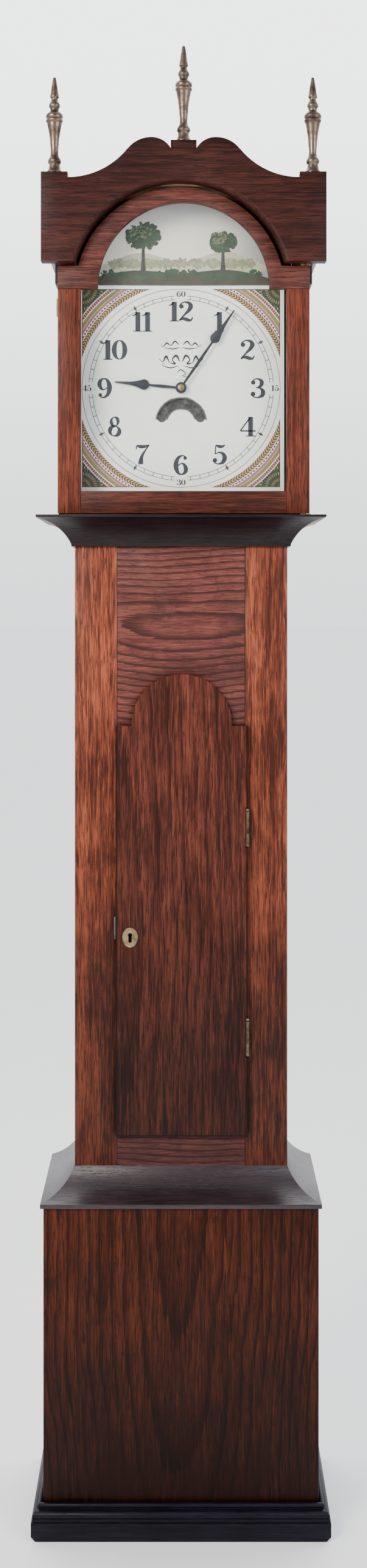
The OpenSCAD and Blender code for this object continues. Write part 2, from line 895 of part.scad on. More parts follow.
module escape_wheel() {
    teeth = 30;
    step = 360 / teeth;
    root = 16.6;
    tip = 20;
    color(bright_brass) slab(8.5, 1.5) translate([0, third_z]) difference() {
        polygon([for (i = [0 : teeth - 1], c = [[0, root], [0.36, root], [0.52, tip],
                [0.56, tip], [0.8, root]])
            let (a = i * step + (c[0] - 0.54) * step) c[1] * [cos(a), sin(a)]]);
        for (a = [0 : 90 : 270]) rotate(a) difference() {
            intersection() {
                circle(14.5);
                translate([1.6, 1.6]) square(20);
            }
            circle(5);
        }
    }
    color(iron) {
        arbor(0, third_z, 3.2, 30.8);
        slab(20.5, 5) translate([0, third_z]) gear_outline(8, 1, -90, 0.6, 1, 0.36);
    }
}

// The anchor rocks over the escape wheel; its arbor runs to the back and carries the crutch.
module anchor() {
    wheel = [0, third_z - anchor_z];
    out = [sin(45), cos(45)];
    side = [cos(45), -sin(45)];
    color(blue_steel) {
        slab(8.4, 1.8) translate([0, anchor_z]) {
            circle(4);
            for (s = [0, 1]) mirror([s, 0])
                polygon([[0, 4], [0, -3], wheel + 24.5 * out - 0.8 * side,
                    wheel + 20.3 * out - 0.6 * side, wheel + 20.3 * out + 0.6 * side,
                    wheel + 27 * out + 1.8 * side, [6, 2.6]]);
        }
        bar_y(0, anchor_z, 1.7, 5.2, 66.5);
        bar_y(0, anchor_z, pivot_r, 3.2, 5.4);
        span([-1.5, 66, anchor_z - 92], [1.5, 68, anchor_z + 3]);
        span([-4.6, 66, anchor_z - 92], [4.6, 70, anchor_z - 88]);
        for (x = [-4.6, 2.6]) span([x, 70, anchor_z - 92], [x + 2, 84, anchor_z - 88]);
    }
}

rod_r = 2.2;

module pendulum_rod() {
    rod_low = anchor_z - pendulum_l - bob_r - 22;
    color(iron) {
        difference() {
            union() {
                bar_y(0, anchor_z, 5, hang_y - 3.8, hang_y + 3.8);
                span([-2, hang_y - 3.8, anchor_z - 34], [2, hang_y + 3.8, anchor_z - 24]);
                span([-1, hang_y - 3, anchor_z - 26], [1, hang_y + 3, anchor_z - 3]);
                translate([0, hang_y, rod_low]) cylinder(r = rod_r, h = anchor_z - 30 - rod_low);
            }
            bar_y(0, anchor_z, 2.06, hang_y - 5, hang_y + 5);
        }
    }
}

module pendulum_bob() {
    bob_z = anchor_z - pendulum_l;
    bob_t = 26;
    lens_r = (bob_r * bob_r + bob_t * bob_t / 4) / bob_t;
    color(old_brass) {
        difference() {
            translate([0, hang_y, bob_z]) rotate([90, 0, 0]) rotate_extrude() intersection() {
                translate([0, bob_t / 2 - lens_r]) circle(lens_r);
                translate([0, lens_r - bob_t / 2]) circle(lens_r);
                translate([0, -bob_t]) square([bob_r - 0.6, 2 * bob_t]);
            }
            translate([0, hang_y, bob_z - 60]) cylinder(r = rod_r + 0.05, h = 120);
        }
        translate([0, hang_y, bob_z - bob_r - 7]) difference() {
            cylinder(r = 8, h = 7.2);
            translate([0, 0, -1]) cylinder(r = rod_r + 0.05, h = 9);
        }
    }
}

// ---- striking train ----

module strike_great_wheel() {
    color(bright_brass) {
        slab(34, 2.2) translate([0, great_z]) gear_outline(60, 1.2, 93);
        rope_pulley(great_z, rope_y[1]);
        slab(62.5, 1.6) translate([0, great_z]) difference() {
            circle(32);
            for (a = [0, 40, 85, 135, 190, 240, 300]) rotate(a)
                translate([28.5, -2]) square([6, 4]);
        }
    }
    color(iron) {
        bar_y(0, great_z, 3, 33.2, 56.8);
        bar_y(0, great_z, pivot_r, 31.2, 64.6);
    }
}

module pin_wheel() {
    color(bright_brass) slab(50.2, 1.6) translate([0, wheel_z])
        crossed_wheel(48, 1, 93.75, 5, 7);
    color(iron) {
        arbor(0, wheel_z, 31.2, 58.8);
        slab(33.4, 4) translate([0, wheel_z]) gear_outline(6, 1.2, -90, 0.6, 1, 0.36);
        for (a = [0 : 45 : 315])
            bar_y(18.5 * cos(a), wheel_z + 18.5 * sin(a), 1, 51.7, 55.5);
    }
}

module warning_wheel() {
    color(bright_brass) slab(38.5, 1.6) translate([0, third_z])
        crossed_wheel(40, 0.8, 162.1, 4, 2);
    color(iron) {
        arbor(0, third_z, 31.2, 58.8);
        slab(48.5, 5) translate([0, third_z]) gear_outline(8, 1, -90, 0.6, 1, 0.36);
    }
}

module fly() {
    color(iron) {
        arbor(fly_pos[0], fly_pos[1], 31.2, 58.8);
        slab(36.8, 5) translate(fly_pos) gear_outline(6, 0.8, -22.4, 0.6, 1, 0.36);
        span([fly_pos[0] - 12.5, 44, fly_pos[1] - 0.5], [fly_pos[0] + 12.5, 55, fly_pos[1] + 0.5]);
    }
}

module hammer() {
    axis = [-44, 1628];
    color(iron) {
        arbor(axis[0], axis[1], 31.2, 58.8);
        slab(35, 3) polygon([axis + [-3, -4], axis + [3, -4], axis + [3, 10], [-50, 1690],
            [-50, 1742], [-53, 1742], [-53, 1690], axis + [-3, 10]]);
        translate([-60, bell_y, 1741]) rotate([0, 90, 0]) cylinder(r = 5, h = 12.4);
        span([-53, bell_y, 1738], [-50, 36, 1742]);
    }
}

// ---- weights and rope ----

module rope_over_pulleys() {
    color(hemp) for (y = rope_y) translate([0, y, great_z]) rotate([90, 0, 0])
        rotate_extrude(angle = 180) translate([rope_r, 0]) circle(rope_d / 2);
}

// Two vertical strands joined by a half turn at the bottom, at one side of the movement.
module rope_fall(x, bottom) {
    bend = (rope_y[1] - rope_y[0]) / 2;
    mid = (rope_y[0] + rope_y[1]) / 2;
    color(hemp) {
        for (y = rope_y) translate([x, y, bottom]) cylinder(r = rope_d / 2, h = great_z - bottom);
        translate([x, mid, bottom]) rotate([0, 90, 0]) rotate([0, 0, -90])
            rotate_extrude(angle = 180) translate([bend, 0]) circle(rope_d / 2);
    }
}

module rope_weight_fall() {
    rope_fall(rope_r, weight_z);
}

module rope_ring_fall() {
    rope_fall(-rope_r, ring_z);
}

rope_mid = (rope_y[0] + rope_y[1]) / 2;
wheel_groove = 11.4;

module weight_pulley() {
    color(bright_brass) translate([rope_r, rope_mid, weight_z]) rotate([0, 90, 0]) difference() {
        union() {
            translate([0, 0, -4]) cylinder(r = wheel_groove, h = 8);
            for (z = [-4.2, 2.8]) translate([0, 0, z]) cylinder(r = 16.4, h = 1.4);
        }
        translate([0, 0, -5]) cylinder(r = 2.05, h = 10);
    }
}

module weight() {
    weight_r = 32;
    weight_l = 190;
    top = weight_z - 46;
    color(iron) translate([rope_r, rope_mid, 0]) {
        translate([0, 0, top - weight_l]) cylinder(r = weight_r, h = weight_l);
        translate([0, 0, top]) cylinder(r1 = weight_r, r2 = 12, h = 8);
        translate([0, 0, top + 8]) cylinder(r = 3, h = 14);
        span([-6.2, -5, top + 21], [6.2, 5, top + 24]);
        for (x = [-6.2, 4.6]) span([x, -5, top + 21], [x + 1.6, 5, weight_z + 6]);
        translate([-6.2, 0, weight_z]) rotate([0, 90, 0]) cylinder(r = 2, h = 12.4);
    }
}

module ring_weight() {
    ring_r = 11;
    wire_r = 3.4;
    bend = (rope_y[1] - rope_y[0]) / 2;
    rope_low = ring_z - bend;
    color([0.45, 0.46, 0.48])
        translate([-rope_r, rope_mid, rope_low + rope_d / 2 + wire_r + 0.1 - ring_r])
        rotate([90, 0, 0]) rotate_extrude() translate([ring_r, 0]) circle(wire_r);
}

base_panel();
base_sides();
plinth_mouldings();
base_cove();
trunk_stiles();
trunk_rails();
trunk_sides();
backboard();
throat_moulding();
seatboard();
case_hinge_leaves();
dial_plate();
dial_feet();
frame_plates();
frame_posts();
movement_bars();
back_cock();
bell_stand();
bell();
rope_over_pulleys();
trunk_door_panel();
escutcheon();
door_lock();
door_hinge_leaves();
door_pull();
lock_bolt();
cresting_board();
hood_sides();
hood_top_board();
hood_cornices();
hood_sill();
finials();
hood_pivot_plates();
glazed_door_stiles();
glazed_door_bottom_rail();
glazed_door_head();
glazed_door_glass();
glazed_door_fittings();
minute_hand();
cannon_wheel();
hour_hand();
hour_wheel();
minute_wheel();
date_disc();
great_wheel();
second_wheel();
escape_wheel();
anchor();
pendulum_rod();
pendulum_bob();
strike_great_wheel();
pin_wheel();
warning_wheel();
fly();
hammer();
weight();
weight_pulley();
ring_weight();
rope_weight_fall();
rope_ring_fall();
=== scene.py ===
import json
import math
import random

import bmesh
import bpy
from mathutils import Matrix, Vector
from mathutils.geometry import delaunay_2d_cdt


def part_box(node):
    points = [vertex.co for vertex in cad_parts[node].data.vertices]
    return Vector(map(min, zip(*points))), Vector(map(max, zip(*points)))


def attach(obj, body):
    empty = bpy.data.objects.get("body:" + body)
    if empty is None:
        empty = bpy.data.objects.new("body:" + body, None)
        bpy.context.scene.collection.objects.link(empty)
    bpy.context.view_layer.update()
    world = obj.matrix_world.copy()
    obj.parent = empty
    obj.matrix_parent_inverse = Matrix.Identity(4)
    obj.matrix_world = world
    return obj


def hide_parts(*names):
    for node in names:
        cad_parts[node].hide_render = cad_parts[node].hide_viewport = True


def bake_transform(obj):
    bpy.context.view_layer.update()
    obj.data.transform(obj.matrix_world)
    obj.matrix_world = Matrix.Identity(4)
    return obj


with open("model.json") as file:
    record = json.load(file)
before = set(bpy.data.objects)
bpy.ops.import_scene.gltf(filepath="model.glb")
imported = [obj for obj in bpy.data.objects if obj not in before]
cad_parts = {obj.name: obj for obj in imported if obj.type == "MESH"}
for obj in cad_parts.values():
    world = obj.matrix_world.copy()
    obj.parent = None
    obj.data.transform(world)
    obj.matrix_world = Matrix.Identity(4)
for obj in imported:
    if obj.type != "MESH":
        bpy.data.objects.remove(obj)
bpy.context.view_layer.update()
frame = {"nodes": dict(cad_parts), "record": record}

# Lengths are in millimetres where MM turns them into metres.
MM = 0.001
DIAL_Z = 1660.8  # centre of the hands
DIAL_Y = -35.0  # front of the dial plate
INK_Y = DIAL_Y - 0.12
DATE_DROP = 51.8  # from the centre of the hands to the centre of the date ring
DATE_Z = DIAL_Z - DATE_DROP
DATE_Y = -31.62
HOUR_R, HOUR_HIGH = 113.5, 28.8
MINUTE_R, MINUTE_HIGH = 139.3, 8.6
DATE_R, DATE_HIGH = 30.5, 6.2
PICTURE_Z, PICTURE_R, PICTURE_FOOT = 1795, 138, 1813.6  # the arch's centre, radius and lowest paint
KEY_X = -74.6
DOOR_FRONT = -60.0
GREAT_Z = 1588.0  # centre of the pulleys that the rope hangs from
ROPE_X = 26.0
ROPE_MID, ROPE_BEND = 29.0, 14.0

HANDS = ("minute_hand", "hour_hand")
NODES = frame["nodes"]
BODY_OF = {n: b for b, names in frame["record"]["behaviour"]["bodies"].items() for n in names}
SLOT_OF = {s["node"]: s["material_slot"] for s in frame["record"]["subparts"]}


# ---- materials ----

class Nodes:
    """A node tree, its nodes written as arithmetic."""

    def __init__(self, tree):
        self.tree = tree
        self.cache = {}

    def put(self, socket, value):
        if isinstance(value, bpy.types.NodeSocket):
            self.tree.links.new(value, socket)
        elif isinstance(value, (tuple, list)):
            value = tuple(value)
            if socket.type == "RGBA" and len(value) == 3:
                value += (1.0,)
            socket.default_value = value
        else:
            socket.default_value = value

    def node(self, kind, **settings):
        n = self.tree.nodes.new(kind)
        for key, value in settings.items():
            setattr(n, key, value)
        return n

    def calc(self, operation, *values):
        n = self.node("ShaderNodeMath", operation=operation)
        for socket, value in zip(n.inputs, values):
            self.put(socket, value)
        return n.outputs[0]

    def add(self, a, b):
        return self.calc("ADD", a, b)

    def sub(self, a, b):
        return self.calc("SUBTRACT", a, b)

    def mul(self, a, b):
        return self.calc("MULTIPLY", a, b)

    def mag(self, a):
        return self.calc("ABSOLUTE", a)

    def every(self, *masks):
        """Where all the masks overlap."""
        out = masks[0]
        for m in masks[1:]:
            out = self.mul(out, m)
        return out

    def axes(self):
        if "axes" not in self.cache:
            place = self.node("ShaderNodeTexCoord").outputs["Object"]
            split = self.node("ShaderNodeSeparateXYZ")
            self.put(split.inputs[0], place)
            self.cache["axes"] = tuple(split.outputs)
        return self.cache["axes"]

    def vector(self, x, y, z):
        n = self.node("ShaderNodeCombineXYZ")
        for socket, value in zip(n.inputs, (x, y, z)):
            self.put(socket, value)
        return n.outputs[0]

    def noise(self, vector, scale=1.0, detail=3.0, rough=0.55, distort=0.0):
        n = self.node("ShaderNodeTexNoise")
        for key, value in (("Vector", vector), ("Scale", scale), ("Detail", detail),
                           ("Roughness", rough), ("Distortion", distort)):
            self.put(n.inputs[key], value)
        return n.outputs["Fac"]

    def step(self, value, low, high, a=0.0, b=1.0):
        n = self.node("ShaderNodeMapRange", interpolation_type="SMOOTHSTEP")
        for socket, v in zip(n.inputs, (value, low, high, a, b)):
            self.put(socket, v)
        return n.outputs[0]

    def band(self, value, low, high, soft=0.2):
        """One between low and high, nothing outside."""
        return self.mul(self.step(value, low - soft, low + soft),
                        self.step(value, high - soft, high + soft, 1.0, 0.0))

    def mix(self, fac, a, b, blend="MIX"):
        n = self.node("ShaderNodeMix", data_type="RGBA", blend_type=blend)
        self.put(n.inputs[0], fac)
        self.put(n.inputs[6], a)
        self.put(n.inputs[7], b)
        return n.outputs[2]

    def ramp(self, fac, stops):
        n = self.node("ShaderNodeValToRGB")
        ramp = n.color_ramp
        while len(ramp.elements) < len(stops):
            ramp.elements.new(0.5)
        for e, (p, c) in zip(ramp.elements, stops):
            e.position, e.color = p, (*c, 1.0)
        self.put(n.inputs[0], fac)
        return n.outputs[0]


class Shade(Nodes):
    """One material with its surface shader."""

    def __init__(self, name, rough=0.5, metal=0.0):
        self.mat = bpy.data.materials.new(name)
        self.mat.use_nodes = True
        super().__init__(self.mat.node_tree)
        self.bsdf = self.tree.nodes["Principled BSDF"]
        self.set("Roughness", rough)
        self.set("Metallic", metal)

    def set(self, name, value):
        self.put(self.bsdf.inputs[name], value)

    def bump(self, height, distance, strength=1.0):
        n = self.node("ShaderNodeBump")
        self.put(n.inputs["Strength"], strength)
        self.put(n.inputs["Distance"], distance)
        self.put(n.inputs["Height"], height)
        self.set("Normal", n.outputs[0])


def scaled(rgb, k):
    return tuple(c * k for c in rgb)


def wood(name, mean, along="z", heart=(0.0, 0.0), stretch=0.1, ring=0.012, rough=0.45, sheen=0.18,
         seed=0.0, painted_falloff=(0.0, 1.0, 1.0, 1.0), figure=0.3, soil=(0.0, 0.0), contrast=1.0, grain=1.2,
         shadow_rim=None, shadow_width=0.0022):
    """Sawn board: growth lines about a heart, streaks, open pores, worn and soiled patches.

    heart is the tree's centre, across and along the grain. fade is painted shade: the tone from one height to
    another, as (low, high, low tone, high tone), darker lower down where the light falls off. soil is
    (height, amount) of the dirt near the floor. rim is the board's box, where its sides and foot carry a
    painted shadow line, groove wide, for the shade in the gaps beside and below the board.
    """
    s = Shade(name, rough)
    x, y, z = s.axes()
    u, v = (x, z) if along == "z" else (z, x)

    def stretched(across, down, detail, rough=0.6):
        place = s.vector(s.mul(u, across * grain), s.mul(y, across * grain),
                         s.add(s.mul(v, down * grain), seed))
        return s.noise(place, 1.0, detail, rough)

    broad = stretched(26.0, 1.6, 3.0)
    streak = stretched(210.0, 11.0, 4.0, 0.7)
    fine = stretched(520.0, 26.0, 3.0)
    pore = stretched(560.0, 34.0, 3.0, 0.7)
    patch = s.noise(s.vector(x, y, s.mul(z, 0.7)), 9.0, 4.0, 0.6)
    slow = s.noise(s.vector(s.mul(u, 4.0), s.mul(y, 4.0), s.add(s.mul(v, 2.6), seed)), 1.0, 2.0)
    across = s.add(s.sub(u, heart[0]), s.mul(s.sub(slow, 0.5), 0.05))
    length = s.mul(s.sub(v, heart[1]), stretch)
    far = s.calc("SQRT", s.add(s.add(s.mul(across, across), s.mul(length, length)), s.mul(y, y)))
    year = s.calc("FRACT", s.add(s.calc("DIVIDE", far, ring), s.mul(streak, 0.5)))
    line = s.mul(s.step(year, 0.55, 0.96), s.step(year, 0.96, 1.0, 1.0, 0.0))
    tone = s.add(s.mul(streak, 0.42), s.mul(fine, 0.34))
    tone = s.add(s.add(tone, s.mul(broad, 0.24)), s.mul(s.sub(patch, 0.5), 0.25))
    tone = s.sub(tone, s.mul(line, 0.16 * figure))
    tone = s.add(s.mul(s.sub(tone, 0.5), contrast), 0.5)
    red, green, blue = scaled(mean, 1.85)
    colour = s.ramp(tone, [(0.30, scaled(mean, 0.30)), (0.42, scaled(mean, 0.62)), (0.51, mean),
                           (0.68, (red, green * 1.06, blue))])
    pores = s.step(pore, 0.54, 0.64, 0.0, 0.85)
    colour = s.mix(pores, colour, scaled(mean, 0.22))
    # painted shade: the colour darkens lower down, as the light falls off towards the floor
    shade = s.step(z, *painted_falloff)
    colour = s.mix(1.0, colour, s.vector(shade, shade, shade), "MULTIPLY")
    spots = s.noise(s.vector(x, y, s.mul(z, 0.8)), 15.0, 5.0, 0.7)
    height, amount = soil
    if amount:
        spots = s.add(spots, s.step(z, height, height + 0.22, amount, 0.0))
    blotch = s.step(spots, 0.60, 0.74, 0.0, 0.72)
    colour = s.mix(blotch, colour, scaled(mean, 0.24))
    # painted shadow: a dark line along the board's sides and foot, for the shade in the gaps beside and below
    # it
    if shadow_rim:
        low, high = shadow_rim
        gap = s.calc("MINIMUM", s.sub(x, low[0]), s.sub(high[0], x))
        gap = s.calc("MINIMUM", gap, s.sub(z, low[2]))
        colour = s.mix(s.step(gap, shadow_width * 0.4, shadow_width, 0.9, 0.0), colour, scaled(mean, 0.07))
    s.set("Base Color", colour)
    s.set("Roughness", s.add(rough, s.mul(s.sub(patch, 0.5), 0.3)))
    s.set("Specular IOR Level", sheen)
    s.bump(s.sub(fine, s.mul(pores, 0.8)), 0.0003, 0.5)
    return s.mat


def metal(name, colour, dull, rough=0.35, amount=0.5, scale=60.0, metallic=1.0, brushed=False):
    s = Shade(name, rough, metallic)
    x, y, z = s.axes()
    grime = s.noise(s.vector(x, y, z), scale, 5.0, 0.65)
    colour = s.mix(s.step(grime, 0.4, 0.68, 0.0, amount), colour, dull)
    s.set("Base Color", colour)
    s.set("Roughness", s.step(grime, 0.3, 0.7, rough, rough + 0.3))
    fine = s.noise(s.vector(x, y, s.mul(z, 6.0 if brushed else 1.0)), 900.0, 2.0)
    s.bump(fine, 0.00006, 0.5)
    return s.mat


def paint(name, colour, second, scale=60.0, rough=0.6, contrast=0.6):
    """Hand-laid oil paint with brush marks."""
    s = Shade(name, rough)
    x, y, z = s.axes()
    marks = s.noise(s.vector(x, y, s.mul(z, 1.7)), scale, 4.0, 0.6, 0.8)
    s.set("Base Color", s.mix(s.step(marks, 0.36, 0.64, 0.0, contrast), colour, second))
    s.bump(marks, 0.00012, 0.6)
    return s.mat


STILE = (0.150, 0.0345, 0.0170)
HOOD = (0.088, 0.0190, 0.0095)
HEADER = (0.112, 0.0295, 0.0228)
DOOR = (0.079, 0.0186, 0.0110)
RAIL = (0.068, 0.0155, 0.0085)
HEAD = (0.074, 0.0200, 0.0140)
CREST = (0.0290, 0.0069, 0.0050)
BASE = (0.045, 0.0096, 0.0038)
# the next three are dark wood whose colour also carries a painted bluish sheen, a painted reflection,
# strongest in the plinth
COVE_WITH_SHEEN = (0.0195, 0.0105, 0.0135)
DARK_WITH_SHEEN = (0.0110, 0.0055, 0.0064)
PLINTH_WITH_SHEEN = (0.0045, 0.0034, 0.0080)
OAK = (0.16, 0.10, 0.055)

# painted shade for the trunk: its tone falls from 1.03 at 1.34 m to 0.34 at 0.48 m, as the light falls off
# lower down
PAINTED_FALLOFF = (0.48, 1.34, 0.34, 1.03)
WOODS = {
    "trunk_stiles": wood("stile wood", STILE, heart=(0.3, 1.4), stretch=0.03, ring=0.017, seed=1.3,
                         painted_falloff=PAINTED_FALLOFF, figure=0.2, contrast=2.1, sheen=0.12),
    "trunk_sides": wood("side wood", STILE, heart=(0.1, 0.9), stretch=0.05, seed=2.1, painted_falloff=PAINTED_FALLOFF,
                        contrast=1.6, sheen=0.13),
    "trunk_rails": wood("header wood", HEADER, along="x", heart=(1.317, 0.015), stretch=0.22,
                        ring=0.0085, seed=3.7, painted_falloff=(0.5, 1.2, 0.5, 1.0), figure=1.3, contrast=1.2,
                        grain=1.8, shadow_rim=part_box("trunk_rails"), shadow_width=0.0014),
    "trunk_door_panel": wood("door wood", DOOR, heart=(-0.085, 0.86), stretch=0.10, ring=0.014, seed=4.4,
                             painted_falloff=PAINTED_FALLOFF, figure=0.4, rough=0.42, sheen=0.11, contrast=1.9,
                             shadow_rim=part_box("trunk_door_panel"), shadow_width=0.0030),
    "base_panel": wood("base wood", BASE, heart=(0.0, 0.60), stretch=0.13, ring=0.012, seed=5.2,
                       painted_falloff=(0.03, 0.44, 0.34, 1.0), figure=0.7, soil=(0.045, 0.16), contrast=1.5,
                       sheen=0.10),
    "base_sides": wood("base side wood", BASE, heart=(0.2, 0.2), stretch=0.06, seed=6.2,
                       painted_falloff=(0.03, 0.42, 0.5, 1.0), soil=(0.045, 0.14)),
    "cresting_board": wood("crest wood", CREST, along="x", heart=(1.83, 0.25), stretch=0.05, ring=0.010,
                           seed=7.5, figure=0.3, contrast=1.4, sheen=0.12),
    "hood_sides": wood("hood side wood", HOOD, heart=(0.3, 1.7), stretch=0.05, seed=8.2, contrast=1.6),
    "glazed_door_stiles": wood("hood stile wood", HOOD, heart=(0.4, 1.6), stretch=0.03, seed=9.1,
                               figure=0.2, contrast=1.7, sheen=0.13),
    "glazed_door_bottom_rail": wood("hood rail wood", RAIL, along="x", heart=(1.44, 0.1), stretch=0.04,
                                    seed=10.4, figure=0.2, contrast=1.5, sheen=0.13),
    "glazed_door_head": wood("hood head wood", HEAD, along="x", heart=(2.02, 0.06), stretch=0.06,
                             ring=0.012, seed=11.6, figure=0.4, contrast=1.3),
    "plinth_mouldings": wood("plinth wood", PLINTH_WITH_SHEEN, along="x", seed=12.0, rough=0.40, figure=0.2,
                             sheen=0.13, contrast=1.5),
    "base_cove": wood("base cove wood", COVE_WITH_SHEEN, along="x", seed=13.0, rough=0.36, sheen=0.4, figure=0.2),
    "throat_moulding": wood("throat wood", DARK_WITH_SHEEN, along="x", seed=14.0, rough=0.36, sheen=0.15,
                            figure=0.2),
    "hood_cornices": wood("cornice wood", DARK_WITH_SHEEN, seed=15.0, rough=0.38, sheen=0.3, figure=0.2),
    "backboard": wood("back oak", OAK, heart=(0.02, 1.0), stretch=0.04, rough=0.75, seed=16.0),
    "seatboard": wood("seat oak", OAK, along="x", heart=(1.53, 0.0), rough=0.75, seed=17.0),
    "hood_top_board": wood("hood top oak", OAK, along="x", heart=(1.95, 0.0), rough=0.75, seed=18.0),
    "hood_sill": wood("hood sill oak", OAK, along="x", heart=(1.47, 0.0), rough=0.75, seed=19.0),
}

AGED = metal("aged brass", (0.30, 0.22, 0.12), (0.07, 0.048, 0.03), 0.34, 0.8, 70.0)
HINGE = metal("hinge brass", (0.125, 0.095, 0.060), (0.022, 0.016, 0.012), 0.30, 0.85, 90.0)
FINIAL = metal("finial brass", (0.155, 0.112, 0.083), (0.028, 0.019, 0.016), 0.26, 0.9, 55.0)
BRASS = metal("movement brass", (0.72, 0.52, 0.22), (0.40, 0.27, 0.11), 0.26, 0.5, 45.0, brushed=True)
BOB = metal("bob brass", (0.62, 0.45, 0.20), (0.30, 0.20, 0.09), 0.28, 0.6, 25.0)
BELL = metal("bell metal", (0.60, 0.50, 0.34), (0.32, 0.25, 0.16), 0.30, 0.6, 30.0)
IRON = metal("oiled iron", (0.12, 0.115, 0.11), (0.07, 0.045, 0.03), 0.42, 0.6, 50.0)
CAST = metal("cast iron", (0.055, 0.054, 0.055), (0.09, 0.045, 0.025), 0.55, 0.45, 35.0)
BLUED = metal("blued steel", (0.0035, 0.0065, 0.014), (0.006, 0.005, 0.005), 0.46, 0.5, 120.0, 0.2)
LEAD = metal("lead", (0.20, 0.205, 0.215), (0.12, 0.12, 0.125), 0.5, 0.6, 40.0, 0.8)

METALS = {"aged_brass": AGED, "pendulum_brass": BOB, "movement_brass": BRASS, "bell_metal": BELL,
          "iron": IRON, "blued_steel": BLUED, "lead": LEAD}


def hemp():
    s = Shade("hemp rope", 0.85)
    x, y, z = s.axes()
    hair = s.noise(s.vector(s.mul(x, 2.0), y, s.mul(z, 0.5)), 1500.0, 3.0)
    dirt = s.noise(s.vector(x, y, z), 22.0, 3.0)
    colour = s.mix(s.step(hair, 0.35, 0.65), (0.46, 0.34, 0.18), (0.66, 0.53, 0.33))
    s.set("Base Color", s.mix(s.step(dirt, 0.5, 0.7, 0.0, 0.5), colour, (0.24, 0.17, 0.09)))
    s.bump(hair, 0.0003)
    return s.mat


def window_glass():
    s = Shade("old glass", 0.03)
    x, y, z = s.axes()
    s.set("Base Color", (0.25, 0.28, 0.27))
    s.set("Alpha", 0.025)
    s.set("Specular IOR Level", 0.10)
    wave = s.noise(s.vector(x, y, z), 9.0, 2.0)
    s.bump(wave, 0.0006, 0.35)
    return s.mat


HEMP = hemp()
GLASS = window_glass()


